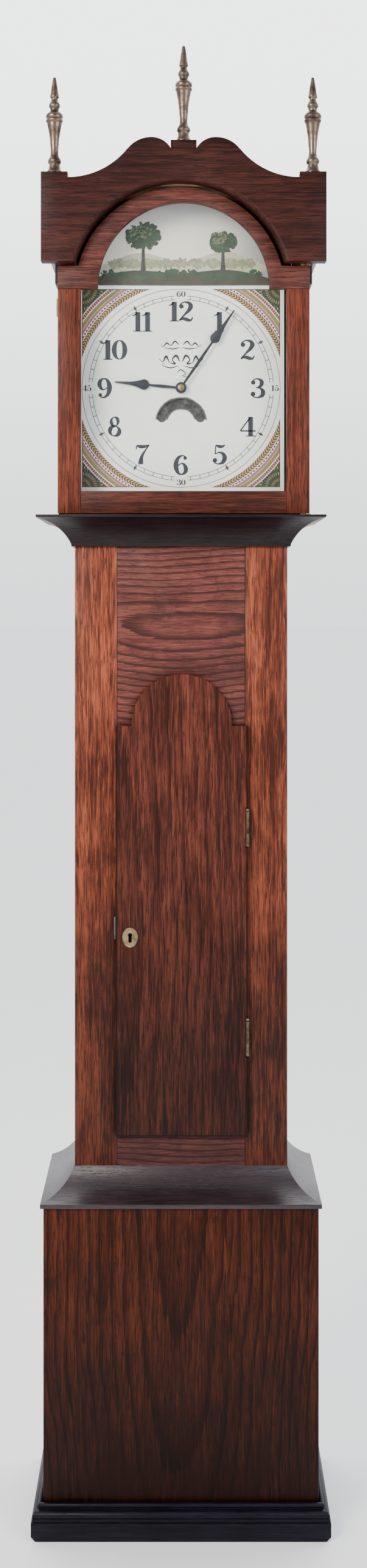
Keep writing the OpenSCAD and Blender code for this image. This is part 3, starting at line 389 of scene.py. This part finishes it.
def dial_paint():
    """Ivory ground, minute tracks, four painted corners, and the sky above."""
    s = Shade("dial paint", 0.42)
    x, y, z = s.axes()
    px = s.mul(x, 1000.0)
    pz = s.sub(s.mul(z, 1000.0), DIAL_Z)
    ax, az = s.mag(px), s.mag(pz)
    r = s.calc("SQRT", s.add(s.mul(px, px), s.mul(pz, pz)))
    turn = s.calc("ARCTAN2", px, pz)
    arc = s.mul(turn, 160.0)
    cloud = s.noise(s.vector(x, y, z), 9.0, 4.0)
    speck = s.noise(s.vector(x, y, z), 260.0, 3.0, 0.7)
    ground = s.mix(s.step(cloud, 0.35, 0.7), (0.83, 0.85, 0.80), (0.74, 0.76, 0.69))
    ground = s.mix(s.step(speck, 0.66, 0.76, 0.0, 0.5), ground, (0.40, 0.34, 0.24))

    def saw(value, period, shift=0.0):
        return s.calc("FRACT", s.add(s.calc("DIVIDE", value, period), shift + 40.0))

    def tooth(value, period, shift=0.0):
        return s.mag(s.sub(saw(value, period, shift), 0.5))

    square = s.mul(s.step(ax, 146.4, 146.8, 1.0, 0.0), s.step(az, 146.4, 146.8, 1.0, 0.0))
    corner = s.mul(square, s.step(r, 151.5, 152.5))
    colour = ground

    def lay(mask, tint):
        nonlocal colour
        colour = s.mix(mask, colour, tint)

    # corners, from the ring outwards
    chev = saw(s.add(arc, s.mul(s.mag(s.sub(r, 157.2)), 0.9)), 4.6)
    tan = s.mix(s.band(chev, 0.02, 0.52, 0.05), (0.46, 0.30, 0.085), (0.045, 0.016, 0.014))
    lay(s.mul(corner, s.band(r, 153.2, 161.0)), tan)
    bite = s.sub(162.2, s.mul(s.sub(0.5, tooth(arc, 5.2)), -6.0))
    lay(s.every(corner, s.step(r, 161.9, 162.2), s.step(s.sub(r, bite), -0.2, 0.2, 1.0, 0.0)),
        (0.14, 0.012, 0.030))
    line = s.band(saw(arc, 1.7), 0.1, 0.5, 0.06)
    lay(s.mul(corner, s.band(r, 165.2, 169.0)), s.mix(line, (0.44, 0.20, 0.17), (0.18, 0.022, 0.028)))
    hatch = s.band(saw(s.add(arc, r), 2.3), 0.05, 0.5, 0.08)
    lay(s.mul(corner, s.band(r, 169.4, 174.6)), s.mix(hatch, (0.34, 0.27, 0.08), (0.07, 0.065, 0.02)))
    dash = s.band(saw(arc, 3.4), 0.1, 0.6, 0.06)
    lay(s.mul(corner, s.band(r, 176.0, 180.2)), s.mix(dash, (0.44, 0.19, 0.16), (0.15, 0.015, 0.025)))
    cx, cz = s.sub(147.5, ax), s.sub(147.5, az)
    spoke = s.calc("ARCTAN2", cx, cz)
    reach = s.calc("SQRT", s.add(s.mul(cx, cx), s.mul(cz, cz)))
    ray = 0.157
    fan = s.mix(s.band(saw(spoke, ray), 0.12, 0.55, 0.05), (0.008, 0.012, 0.009), (0.020, 0.075, 0.032))
    gold = s.every(s.band(saw(spoke, ray, 0.5), 0.3, 0.62, 0.05),
                   s.band(saw(reach, 9.0), 0.15, 0.6, 0.08))
    fan = s.mix(gold, fan, (0.48, 0.21, 0.03))
    lay(s.mul(corner, s.step(r, 181.3, 181.8)), fan)
    edge = s.mul(square, s.calc("MAXIMUM", s.step(ax, 145.2, 145.6), s.step(az, 145.2, 145.6)))
    lay(s.mul(edge, s.step(r, 153.0, 154.0)), (0.05, 0.05, 0.035))

    # minute track: two rings with ticks, lozenges at the fives, and an outer line
    ink = (0.030, 0.032, 0.035)
    degrees = s.mul(turn, 180.0 / math.pi)
    quarter = s.mul(tooth(degrees, 90.0), 90.0)
    clear = s.step(quarter, 41.0, 41.4, 1.0, 0.0)
    ticks = s.step(tooth(degrees, 6.0), 0.452, 0.474)
    lay(s.band(r, 146.0, 146.9, 0.2), (0.10, 0.10, 0.10))
    lay(s.mul(s.band(r, 130.8, 131.7, 0.15), clear), ink)
    lay(s.mul(s.band(r, 136.1, 137.0, 0.15), clear), ink)
    lay(s.every(ticks, s.band(r, 131.3, 136.5, 0.15), clear), ink)
    fives = s.mul(s.sub(0.5, tooth(degrees, 30.0)), 30.0 * math.pi / 180.0 * 135.7)
    diamond = s.add(s.mul(fives, 0.42), s.mul(s.mag(s.sub(r, 135.9)), 0.19))
    lay(s.mul(s.step(diamond, 0.9, 1.0, 1.0, 0.0), clear), ink)

    # the strip over the square and the painted sky
    top = s.step(pz, 152.4, 152.8)
    # painted shade: the sky darkens to grey towards the right side of the arch
    shade = s.step(px, 40.0, 135.0)
    high = s.step(pz, 200.0, 275.0)
    sky = s.mix(shade, (0.64, 0.62, 0.52), (0.26, 0.27, 0.265))
    sky = s.mix(s.mul(high, 0.6), sky, (0.40, 0.43, 0.44))
    brush = s.noise(s.vector(s.mul(x, 0.6), y, z), 38.0, 4.0)
    sky = s.mix(s.step(brush, 0.45, 0.75, 0.0, 0.35), sky, (0.48, 0.46, 0.38))
    lay(top, sky)
    chips = s.noise(s.vector(s.add(x, 3.1), y, z), 34.0, 4.0, 0.7)
    lay(s.step(chips, 0.745, 0.76, 0.0, 0.9), (0.16, 0.13, 0.09))
    window = s.calc("SQRT", s.add(s.mul(px, px), s.calc("POWER", s.add(pz, DATE_DROP), 2.0)))
    worn = s.noise(s.vector(x, y, z), 120.0, 3.0)
    ring = s.sub(s.mag(s.sub(window, 29.6)), s.mul(worn, 3.0))
    slot = s.every(s.step(ring, 7.0, 8.8, 1.0, 0.0), s.step(pz, -48.5, -45.0))
    lay(s.mul(slot, 0.95), (0.014, 0.012, 0.011))
    s.set("Base Color", colour)
    s.set("Coat Weight", 0.25)
    s.set("Coat Roughness", 0.25)
    s.bump(s.add(s.mul(cloud, 3.0), speck), 0.00008, 0.5)
    return s.mat


DIAL = dial_paint()


# ---- mesh helpers ----

def settle(obj, body):
    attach(obj, body)
    return obj


def new_object(name, mesh, mat):
    obj = bpy.data.objects.new(name.replace(" ", "_"), mesh)
    bpy.context.scene.collection.objects.link(obj)
    mesh.materials.clear()
    mesh.materials.append(mat)
    return obj


def crease(bm, angle=32.0):
    for f in bm.faces:
        f.smooth = True
    for e in bm.edges:
        e.smooth = len(e.link_faces) == 2 and e.calc_face_angle(0.0) < math.radians(angle)


def cleaned(node):
    """The CAD node's surface as plain faces with shared edges."""
    src = NODES[node]
    bm = bmesh.new()
    bm.from_mesh(src.data)
    bm.transform(src.matrix_world)
    bmesh.ops.remove_doubles(bm, verts=bm.verts, dist=2e-6)
    bmesh.ops.dissolve_limit(bm, angle_limit=math.radians(0.6), verts=bm.verts, edges=bm.edges)
    return bm


def softened(node, mat, size, choose=None, big=0.0):
    """A copy of a CAD node with its sharp edges rounded; the chosen edges get a bigger round."""
    bm = cleaned(node)

    def sharp(e):
        return len(e.link_faces) == 2 and e.calc_face_angle(0.0) > math.radians(28)

    if choose:
        picked = [e for e in bm.edges if sharp(e) and choose(e)]
        if picked:
            bmesh.ops.bevel(bm, geom=picked, offset=big * MM, offset_type="OFFSET", segments=5,
                            profile=0.5, affect="EDGES", clamp_overlap=True)
    picked = [e for e in bm.edges if sharp(e)]
    if picked and size:
        bmesh.ops.bevel(bm, geom=picked, offset=size * MM, offset_type="OFFSET", segments=2,
                        profile=0.5, affect="EDGES", clamp_overlap=True)
    crease(bm, 40.0)
    mesh = bpy.data.meshes.new(node + " look")
    bm.to_mesh(mesh)
    bm.free()
    obj = new_object(node + " look", mesh, mat)
    settle(obj, BODY_OF[node])
    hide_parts(node)
    return obj


def painted(node, mat):
    """Gives a CAD node its finish, where its own shape is enough."""
    mesh = NODES[node].data
    mesh.materials.clear()
    mesh.materials.append(mat)


# ---- case and hood woodwork ----

def lip(e):
    """The front edges of the trunk door, apart from the keyhole's."""
    return (all(v.co.y < DOOR_FRONT * MM for v in e.verts)
            and not all(abs(v.co.x - KEY_X * MM) < 6 * MM for v in e.verts))


# How far the edges of each piece are rounded
for name, size in (("base_panel", 0.8), ("base_sides", 0.8), ("trunk_stiles", 0.5), ("trunk_rails", 0.4),
                   ("trunk_sides", 0.8), ("plinth_mouldings", 0.5), ("base_cove", 0.5),
                   ("throat_moulding", 0.5), ("hood_cornices", 0.5), ("hood_sides", 0.8),
                   ("glazed_door_stiles", 0.9), ("glazed_door_bottom_rail", 0.9),
                   ("glazed_door_head", 1.1), ("cresting_board", 1.6), ("backboard", 0.5),
                   ("seatboard", 0.6), ("hood_top_board", 0.6), ("hood_sill", 0.5)):
    softened(name, WOODS[name], size)
softened("trunk_door_panel", WOODS["trunk_door_panel"], 0.5, lip, 3.4)

FITTINGS = {
    "escutcheon": (AGED, 0.35), "door_lock": (AGED, 0.5), "door_pull": (IRON, 0.5),
    "case_hinge_leaves": (HINGE, 0.15), "door_hinge_leaves": (HINGE, 0.15), "finials": (FINIAL, 0.0),
    "frame_plates": (BRASS, 0.3), "back_cock": (BRASS, 0.3), "lock_bolt": (BRASS, 0.3),
    "weight": (CAST, 1.0), "pendulum_bob": (BOB, 0.0),
}
for name, (mat, size) in FITTINGS.items():
    softened(name, mat, size)
painted("glazed_door_glass", GLASS)
for name in NODES:
    if SLOT_OF[name] in METALS and name not in FITTINGS and name not in HANDS:
        painted(name, METALS[SLOT_OF[name]])
painted("rope_over_pulleys", HEMP)


# ---- flat painted shapes on the dial ----

def at(x, z, y):
    return Vector((x * MM, y * MM, z * MM))


def smooth_path(points, closed=False, steps=6):
    """Points on a Catmull-Rom curve through tuples of any length."""
    n = len(points)
    out = []
    for i in range(n if closed else n - 1):
        if closed:
            p = [points[(i + k - 1) % n] for k in range(4)]
        else:
            p = [points[max(0, min(n - 1, i + k - 1))] for k in range(4)]
        for j in range(steps):
            t = j / steps
            out.append(tuple(
                0.5 * (2 * b + (c - a) * t + (2 * a - 5 * b + 4 * c - d) * t * t
                       + (3 * b - a - 3 * c + d) * t ** 3)
                for a, b, c, d in zip(*p)))
    if not closed:
        out.append(tuple(points[-1]))
    return out


class Drawing:
    """Flat shapes in one plane, gathered into one mesh."""

    def __init__(self, y, merged=False):
        self.y = y
        self.bm = bmesh.new()
        self.shapes = [] if merged else None
        self.bold = 1.0

    def outline(self, points, smooth=False):
        if smooth:
            points = smooth_path(points, closed=True, steps=4)
        if self.shapes is not None:
            self.shapes.append([Vector(p[:2]) for p in points])
            return
        face = self.bm.faces.new([self.bm.verts.new(at(p[0], p[1], self.y)) for p in points])
        if face.normal.y > 0 or self.facing(face) > 0:
            face.normal_flip()
        bmesh.ops.triangulate(self.bm, faces=[face])

    def facing(self, face):
        face.normal_update()
        return face.normal.y

    def brush(self, points, closed=False, steps=7):
        """A stroke whose width varies: points are (x, z, width)."""
        line = smooth_path(points, closed, steps)
        n = len(line)
        sides = []
        for i, (x, z, w) in enumerate(line):
            a = line[(i - 1) % n] if closed or i else line[i]
            b = line[(i + 1) % n] if closed or i < n - 1 else line[i]
            dx, dz = b[0] - a[0], b[1] - a[1]
            k = max(w, 0.0) * self.bold / 2 / (math.hypot(dx, dz) or 1.0)
            sides.append((self.bm.verts.new(at(x - dz * k, z + dx * k, self.y)),
                          self.bm.verts.new(at(x + dz * k, z - dx * k, self.y))))
        for i in range(n if closed else n - 1):
            (a, b), (c, d) = sides[i], sides[(i + 1) % n]
            f = self.bm.faces.new((a, b, d, c))
            if self.facing(f) > 0:
                f.normal_flip()

    def disc(self, x, z, r, squeeze=1.0, lean=0.0, sides=14):
        c, s = math.cos(lean), math.sin(lean)
        ring = [(r * math.cos(a), r * squeeze * math.sin(a))
                for a in (2 * math.pi * i / sides for i in range(sides))]
        self.outline([(x + c * u - s * v, z + s * u + c * v) for u, v in ring])

    def merge(self):
        """Lays the overlapping shapes down as one flat patch."""
        verts, faces = [], []
        for points in self.shapes:
            faces.append(list(range(len(verts), len(verts) + len(points))))
            verts += points
        places, _, joined = delaunay_2d_cdt(verts, [], faces, 1, 1e-4)[:3]
        corners = [self.bm.verts.new(at(p.x, p.y, self.y)) for p in places]
        for f in joined:
            face = self.bm.faces.new([corners[i] for i in f])
            if self.facing(face) > 0:
                face.normal_flip()

    def done(self, name, mat, body="case"):
        if self.shapes:
            self.merge()
        mesh = bpy.data.meshes.new(name)
        self.bm.to_mesh(mesh)
        self.bm.free()
        return settle(new_object(name, mesh, mat), body)


def loop(cx, cz, rx, rz, thin, thick, lean=0.0):
    out = []
    for i in range(16):
        a = 2 * math.pi * i / 16
        w = thin + (thick - thin) * abs(math.cos(a - lean)) ** 1.6
        out.append((cx + rx * math.cos(a), cz + rz * math.sin(a), w))
    return out


# Each figure is one unit high: strokes as (x, height, width), closed loops, and round ends.
FIGURES = {
    "0": dict(loops=[loop(0, 0.5, 0.225, 0.475, 0.035, 0.20)]),
    "1": dict(strokes=[[(0, 0.0, 0.2), (0, 0.5, 0.2), (0, 1.0, 0.2)],
                       [(-0.2, 0.015, 0.03), (0.2, 0.015, 0.03)],
                       [(-0.24, 0.80, 0.02), (-0.12, 0.86, 0.05), (-0.02, 0.97, 0.08)]]),
    "2": dict(dots=[(-0.19, 0.76, 0.085)],
              strokes=[[(-0.265, 0.78, 0.03), (-0.21, 0.90, 0.04), (-0.05, 0.98, 0.05), (0.13, 0.93, 0.12),
                        (0.20, 0.76, 0.19), (0.12, 0.56, 0.14), (-0.06, 0.33, 0.07), (-0.27, 0.05, 0.04)],
                       [(-0.28, 0.04, 0.06), (-0.17, 0.12, 0.09), (-0.03, 0.11, 0.14), (0.10, 0.06, 0.13),
                        (0.22, 0.06, 0.07), (0.29, 0.22, 0.03)]]),
    "3": dict(dots=[(-0.19, 0.79, 0.08), (-0.2, 0.20, 0.09)],
              strokes=[[(-0.26, 0.82, 0.03), (-0.12, 0.96, 0.04), (0.04, 0.965, 0.07), (0.16, 0.84, 0.16),
                        (0.14, 0.65, 0.14), (0.0, 0.535, 0.05), (-0.08, 0.52, 0.03)],
                       [(-0.06, 0.53, 0.03), (0.10, 0.50, 0.06), (0.215, 0.34, 0.17), (0.19, 0.14, 0.16),
                        (0.03, 0.03, 0.06), (-0.13, 0.03, 0.04), (-0.27, 0.16, 0.03)]]),
    "4": dict(strokes=[[(0.13, 0.0, 0.19), (0.13, 0.5, 0.19), (0.13, 1.0, 0.19)],
                       [(-0.07, 0.015, 0.03), (0.33, 0.015, 0.03)],
                       [(-0.31, 0.275, 0.045), (0.35, 0.275, 0.045)],
                       [(-0.30, 0.28, 0.045), (-0.08, 0.65, 0.045), (0.13, 0.98, 0.045)]]),
    "5": dict(dots=[(-0.19, 0.21, 0.085)],
              strokes=[[(-0.15, 0.99, 0.03), (-0.02, 0.92, 0.12), (0.12, 0.92, 0.10), (0.24, 1.0, 0.03)],
                       [(-0.15, 0.98, 0.04), (-0.18, 0.52, 0.04)],
                       [(-0.19, 0.52, 0.03), (-0.02, 0.61, 0.05), (0.15, 0.54, 0.13), (0.22, 0.33, 0.19),
                        (0.14, 0.11, 0.14), (-0.02, 0.025, 0.05), (-0.17, 0.06, 0.04), (-0.27, 0.19, 0.03)]]),
    "6": dict(dots=[(0.17, 0.85, 0.065)],
              strokes=[[(0.23, 0.87, 0.03), (0.07, 0.98, 0.05), (-0.11, 0.87, 0.12), (-0.205, 0.62, 0.18),
                        (-0.21, 0.35, 0.19), (-0.12, 0.09, 0.11), (0.02, 0.015, 0.05), (0.16, 0.11, 0.13),
                        (0.205, 0.30, 0.17), (0.13, 0.51, 0.11), (0.01, 0.575, 0.04), (-0.13, 0.46, 0.04)]]),
    "7": dict(strokes=[[(-0.27, 0.76, 0.03), (-0.24, 0.94, 0.06), (-0.09, 0.91, 0.14), (0.10, 0.92, 0.11),
                        (0.28, 1.0, 0.03)],
                       [(0.27, 0.99, 0.035), (0.10, 0.70, 0.06), (-0.03, 0.42, 0.12), (-0.08, 0.14, 0.19),
                        (-0.08, 0.0, 0.19)]]),
    "8": dict(loops=[loop(0, 0.755, 0.145, 0.225, 0.035, 0.13, 0.35),
                     loop(0, 0.27, 0.2, 0.25, 0.035, 0.17, -0.35)]),
}


WIDE = 1.22
THIN = 0.012  # added to each stroke, so that hairlines show


def figure(art, digit, x, z, height):
    """One digit about (x, z); the nine is the six turned round."""
    turned = digit == "9"
    plan = FIGURES["6" if turned else digit]

    def fit(px, pz, w):
        if turned:
            px, pz = -px, 1 - pz
        return (x + px * height * WIDE, z + (pz - 0.5) * height, (w + THIN) * height * WIDE)

    for stroke in plan.get("strokes", []):
        art.brush([fit(*p) for p in stroke])
    for ring in plan.get("loops", []):
        art.brush([fit(*p) for p in ring], closed=True, steps=3)
    for dx, dz, r in plan.get("dots", []):
        p = fit(dx, dz, r)
        art.disc(p[0], p[1], p[2])


def number(art, text, x, z, height, gap=0.70):
    widths = [(0.50 if c == "1" else gap) * height for c in text]
    left = x - sum(widths) / 2
    for c, w in zip(text, widths):
        figure(art, c, left + w / 2, z, height)
        left += w


INK = paint("dial ink", (0.003, 0.006, 0.014), (0.006, 0.011, 0.020), 200.0, 0.55)
art = Drawing(INK_Y)
for hour in range(1, 13):
    a = math.radians(30 * hour)
    number(art, str(hour), HOUR_R * math.sin(a), DIAL_Z + HOUR_R * math.cos(a), HOUR_HIGH)
art.done("hour figures", INK)
art = Drawing(INK_Y)
for minute in (60, 15, 30, 45):
    a = math.radians(6 * minute)
    number(art, str(minute), MINUTE_R * math.sin(a), DIAL_Z + MINUTE_R * math.cos(a), MINUTE_HIGH, 0.78)
art.done("quarter figures", INK)

# pen flourishes under the twelve, without letters
art = Drawing(INK_Y)
art.bold = 1.9
for side in (-1, 1):
    for stroke in (
            [(3, 1725, 0.5), (9, 1730, 1.3), (15, 1724, 0.6), (21, 1727.5, 1.2), (27, 1722, 0.5),
             (30, 1726, 0.4)],
            [(2, 1721, 0.4), (12, 1719, 0.9), (24, 1720.5, 0.4)],
            [(2, 1700, 0.6), (7, 1709, 1.8), (13, 1703, 0.8), (9, 1697, 1.4), (17, 1699, 0.6),
             (22, 1708, 1.7), (27, 1700, 0.7), (33, 1705, 0.5)],
            [(4, 1694, 0.4), (16, 1691, 0.9), (28, 1695, 0.4), (24, 1698, 0.3)]):
        art.brush([(side * x, z, w) for x, z, w in stroke])
art.brush([(-6, 1684, 0.4), (0, 1688, 0.9), (7, 1682, 0.6), (2, 1679, 0.5), (12, 1677, 0.4)])
art.done("flourishes", INK)


# ---- the picture in the arch ----

def layer(level):
    """How far forward a layer of the picture lies; the higher levels cover the lower ones."""
    return DIAL_Y - 0.06 - 0.05 * level


def picture(name, level, tones, outlines, smooth=True, scale=90.0):
    drawing = Drawing(layer(level))
    for points in outlines:
        drawing.outline(points, smooth)
    drawing.done(name, paint(name, *tones, scale, 0.55, 0.7))


def foliage(name, level, tones, spots, size, seed):
    """Dabs of paint scattered about each spot (x, z, width, height, count)."""
    rng = random.Random(seed)
    drawing = Drawing(layer(level), merged=True)
    for x, z, w, h, count in spots:
        for _ in range(count):
            a, k = rng.uniform(0, 2 * math.pi), math.sqrt(rng.random())
            r = rng.uniform(0.5, 1.0) * size
            px, pz = x + w * k * math.cos(a), z + h * k * math.sin(a)
            if math.hypot(px, pz - PICTURE_Z) < PICTURE_R - r and pz - r > PICTURE_FOOT:
                drawing.disc(px, pz, r, rng.uniform(0.45, 0.9), rng.uniform(0, 3.1), 9)
    drawing.done(name, paint(name, *tones, 160.0, 0.6, 0.8))


# a plain landscape: hills, a line of far trees, a hedge and two round trees on a meadow
picture("distant hills", 1, ((0.42, 0.41, 0.29), (0.32, 0.34, 0.23)),
        [[(-118, 1832), (-92, 1852), (-60, 1861), (-26, 1854), (6, 1846), (40, 1858), (78, 1862),
          (118, 1832)]])
foliage("far trees", 2, ((0.17, 0.185, 0.105), (0.28, 0.285, 0.18)),
        [(x, 1845, 13, 6, 44) for x in range(-96, 97, 24)], 4.0, 3)
picture("ground", 3, ((0.040, 0.036, 0.014), (0.010, 0.016, 0.010)),
        [[(-134, 1813.5), (-128, 1824), (-70, 1835), (0, 1831), (70, 1836), (128, 1824),
          (134, 1813.5)]], True, 55.0)
foliage("hedge", 4, ((0.008, 0.028, 0.014), (0.026, 0.062, 0.026)),
        [(x, 1829 + 3 * math.cos(x / 21), 12, 5, 40) for x in range(-108, 109, 24)], 3.0, 5)
TREES = ((-56, 1886, 25, 19), (62, 1877, 20, 15))  # x, z, width and height of each crown
picture("tree trunks", 5, ((0.012, 0.013, 0.012), (0.055, 0.048, 0.030)),
        [[(x - 4.5, 1830), (x - 2.6, 1850), (x - 1.6, z), (x + 1.6, z), (x + 2.6, 1850),
          (x + 4.5, 1830)] for x, z, w, h in TREES], False, 110.0)
foliage("tree crowns", 6, ((0.012, 0.030, 0.016), (0.045, 0.075, 0.034)),
        [(x, z, w, h, 9 * w) for x, z, w, h in TREES], 4.2, 7)
foliage("lit leaves", 7, ((0.085, 0.100, 0.050), (0.165, 0.165, 0.085)),
        [(x - 5, z + 6, 0.7 * w, 0.6 * h, 2 * w) for x, z, w, h in TREES], 2.2, 8)
edge = Drawing(layer(9))
edge.brush([(-137, 1813.2, 1.0), (0, 1813.2, 1.0), (137, 1813.2, 1.0)])
edge.done("picture edge", paint("picture edge", (0.05, 0.055, 0.06), (0.09, 0.09, 0.08)))


# ---- dial plate, date ring and hands ----

bm = cleaned("dial_plate")
crease(bm)
mesh = bpy.data.meshes.new("dial plate look")
bm.to_mesh(mesh)
bm.free()
plate = new_object("dial plate look", mesh, DIAL)
settle(plate, "case")
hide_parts("dial_plate")


def date_paint():
    s = Shade("date ring paint", 0.5)
    x, y, z = s.axes()
    wear = s.noise(s.vector(x, y, z), 110.0, 5.0, 0.7)
    s.set("Base Color", s.mix(s.step(wear, 0.42, 0.6), (0.060, 0.060, 0.058), (0.014, 0.013, 0.012)))
    s.set("Metallic", 0.35)
    s.bump(wear, 0.0002)
    return s.mat


painted("date_disc", date_paint())
art = Drawing(DATE_Y)
for day in range(3, 32, 3):
    a = 2 * math.pi * (day - 18) / 31
    number(art, str(day), DATE_R * math.sin(a), DATE_Z + DATE_R * math.cos(a), DATE_HIGH, 0.72)
art.done("date figures", INK, "date_disc")

minute_hand = softened("minute_hand", BLUED, 0.25)
softened("hour_hand", BLUED, 0.25)
# the boss in front of the minute hand is brass
minute_hand.data.materials.append(AGED)
for f in minute_hand.data.polygons:
    near = math.hypot(f.center.x, f.center.z - DIAL_Z * MM) < 5.0 * MM
    f.material_index = 1 if near and f.center.y < -42.21 * MM else 0


# ---- rope ----

def rope(name, x, bottom, node):
    """Two falls joined by a half turn, swept as a three-lobed section that twists."""
    top, bend = GREAT_Z, ROPE_BEND
    steps = int((top - bottom) / 3)
    line = [(ROPE_MID - bend, top + (bottom - top) * i / steps) for i in range(steps)]
    line += [(ROPE_MID - bend * math.cos(a), bottom - bend * math.sin(a))
             for a in (math.pi * i / 16 for i in range(17))]
    line += [(ROPE_MID + bend, bottom + (top - bottom) * i / steps) for i in range(1, steps + 1)]
    mesh = bpy.data.meshes.new(name)
    bm = bmesh.new()
    rings, run, sides = [], 0.0, 15
    for i, (y, z) in enumerate(line):
        a, b = line[max(0, i - 1)], line[min(len(line) - 1, i + 1)]
        d = Vector((0, b[0] - a[0], b[1] - a[1])).normalized()
        n = Vector((0, -d.z, d.y))
        run += math.hypot(y - a[0], z - a[1])
        ring = []
        for k in range(sides):
            t = 2 * math.pi * k / sides
            r = 2.12 + 0.36 * abs(math.cos(1.5 * (t - run * 0.42)))
            p = Vector((x, y, z)) + Vector((1, 0, 0)) * (r * math.cos(t)) + n * (r * math.sin(t))
            ring.append(bm.verts.new(p * MM))
        rings.append(ring)
    for a, b in zip(rings, rings[1:]):
        for k in range(sides):
            f = bm.faces.new((a[k], a[(k + 1) % sides], b[(k + 1) % sides], b[k]))
            f.smooth = True
    bm.faces.new(rings[0][::-1])
    bm.faces.new(rings[-1])
    bmesh.ops.recalc_face_normals(bm, faces=bm.faces)
    bm.to_mesh(mesh)
    bm.free()
    obj = new_object(name, mesh, HEMP)
    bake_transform(obj)
    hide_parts(node)


rope("weight rope", ROPE_X, 1120.0, "rope_weight_fall")
rope("ring rope", -ROPE_X, 800.0, "rope_ring_fall")


# ---- stage, light and camera ----

floor_shade = Shade("pale floor", 0.7)
floor_shade.set("Base Color", (0.86, 0.86, 0.86))
mesh = bpy.data.meshes.new("floor")
h = 120.0
mesh.from_pydata([(-h, -h, 0), (h, -h, 0), (h, h, 0), (-h, h, 0)], [], [(0, 1, 2, 3)])
obj = new_object("floor", mesh, floor_shade.mat)
obj.location.z = -0.0005

# The sky is brighter behind the clock than in front of it.
world = bpy.data.worlds.new("studio")
bpy.context.scene.world = world
world.use_nodes = True
glow = Nodes(world.node_tree)
aim = glow.node("ShaderNodeSeparateXYZ")
glow.put(aim.inputs[0], glow.node("ShaderNodeTexCoord").outputs["Generated"])
rear = glow.step(aim.outputs[2], 0.0, 0.34, 1.9, 3.6)
facing = glow.step(aim.outputs[1], -0.35, 0.55)
power = glow.add(glow.mul(facing, rear), glow.mul(glow.sub(1.0, facing), 0.62))
sky = world.node_tree.nodes["Background"]
glow.put(sky.inputs[0], (0.95, 0.97, 1.0))
glow.put(sky.inputs[1], power)


def lamp(name, place, aim, size, watts, tint):
    data = bpy.data.lights.new(name, "AREA")
    data.shape, data.size, data.energy, data.color = "SQUARE", size, watts, tint
    obj = bpy.data.objects.new(name, data)
    bpy.context.scene.collection.objects.link(obj)
    obj.location = place
    obj.rotation_euler = (Vector(aim) - Vector(place)).to_track_quat("-Z", "Y").to_euler()


lamp("key", (-1.5, -1.9, 2.45), (0, 0, 1.45), 1.1, 98.0, (1.0, 0.96, 0.90))
lamp("fill", (1.8, -1.6, 2.1), (0, 0, 1.3), 1.4, 42.0, (0.88, 0.93, 1.0))

data = bpy.data.cameras.new("camera")
data.lens, data.sensor_width, data.sensor_fit = 36.0, 36.0, "AUTO"
data.shift_y = -0.112
camera = bpy.data.objects.new("camera", data)
bpy.context.scene.collection.objects.link(camera)
camera.location = (0.0036, -2.355, 1.335)
camera.rotation_euler = (math.pi / 2, 0, 0)
bpy.context.scene.camera = camera
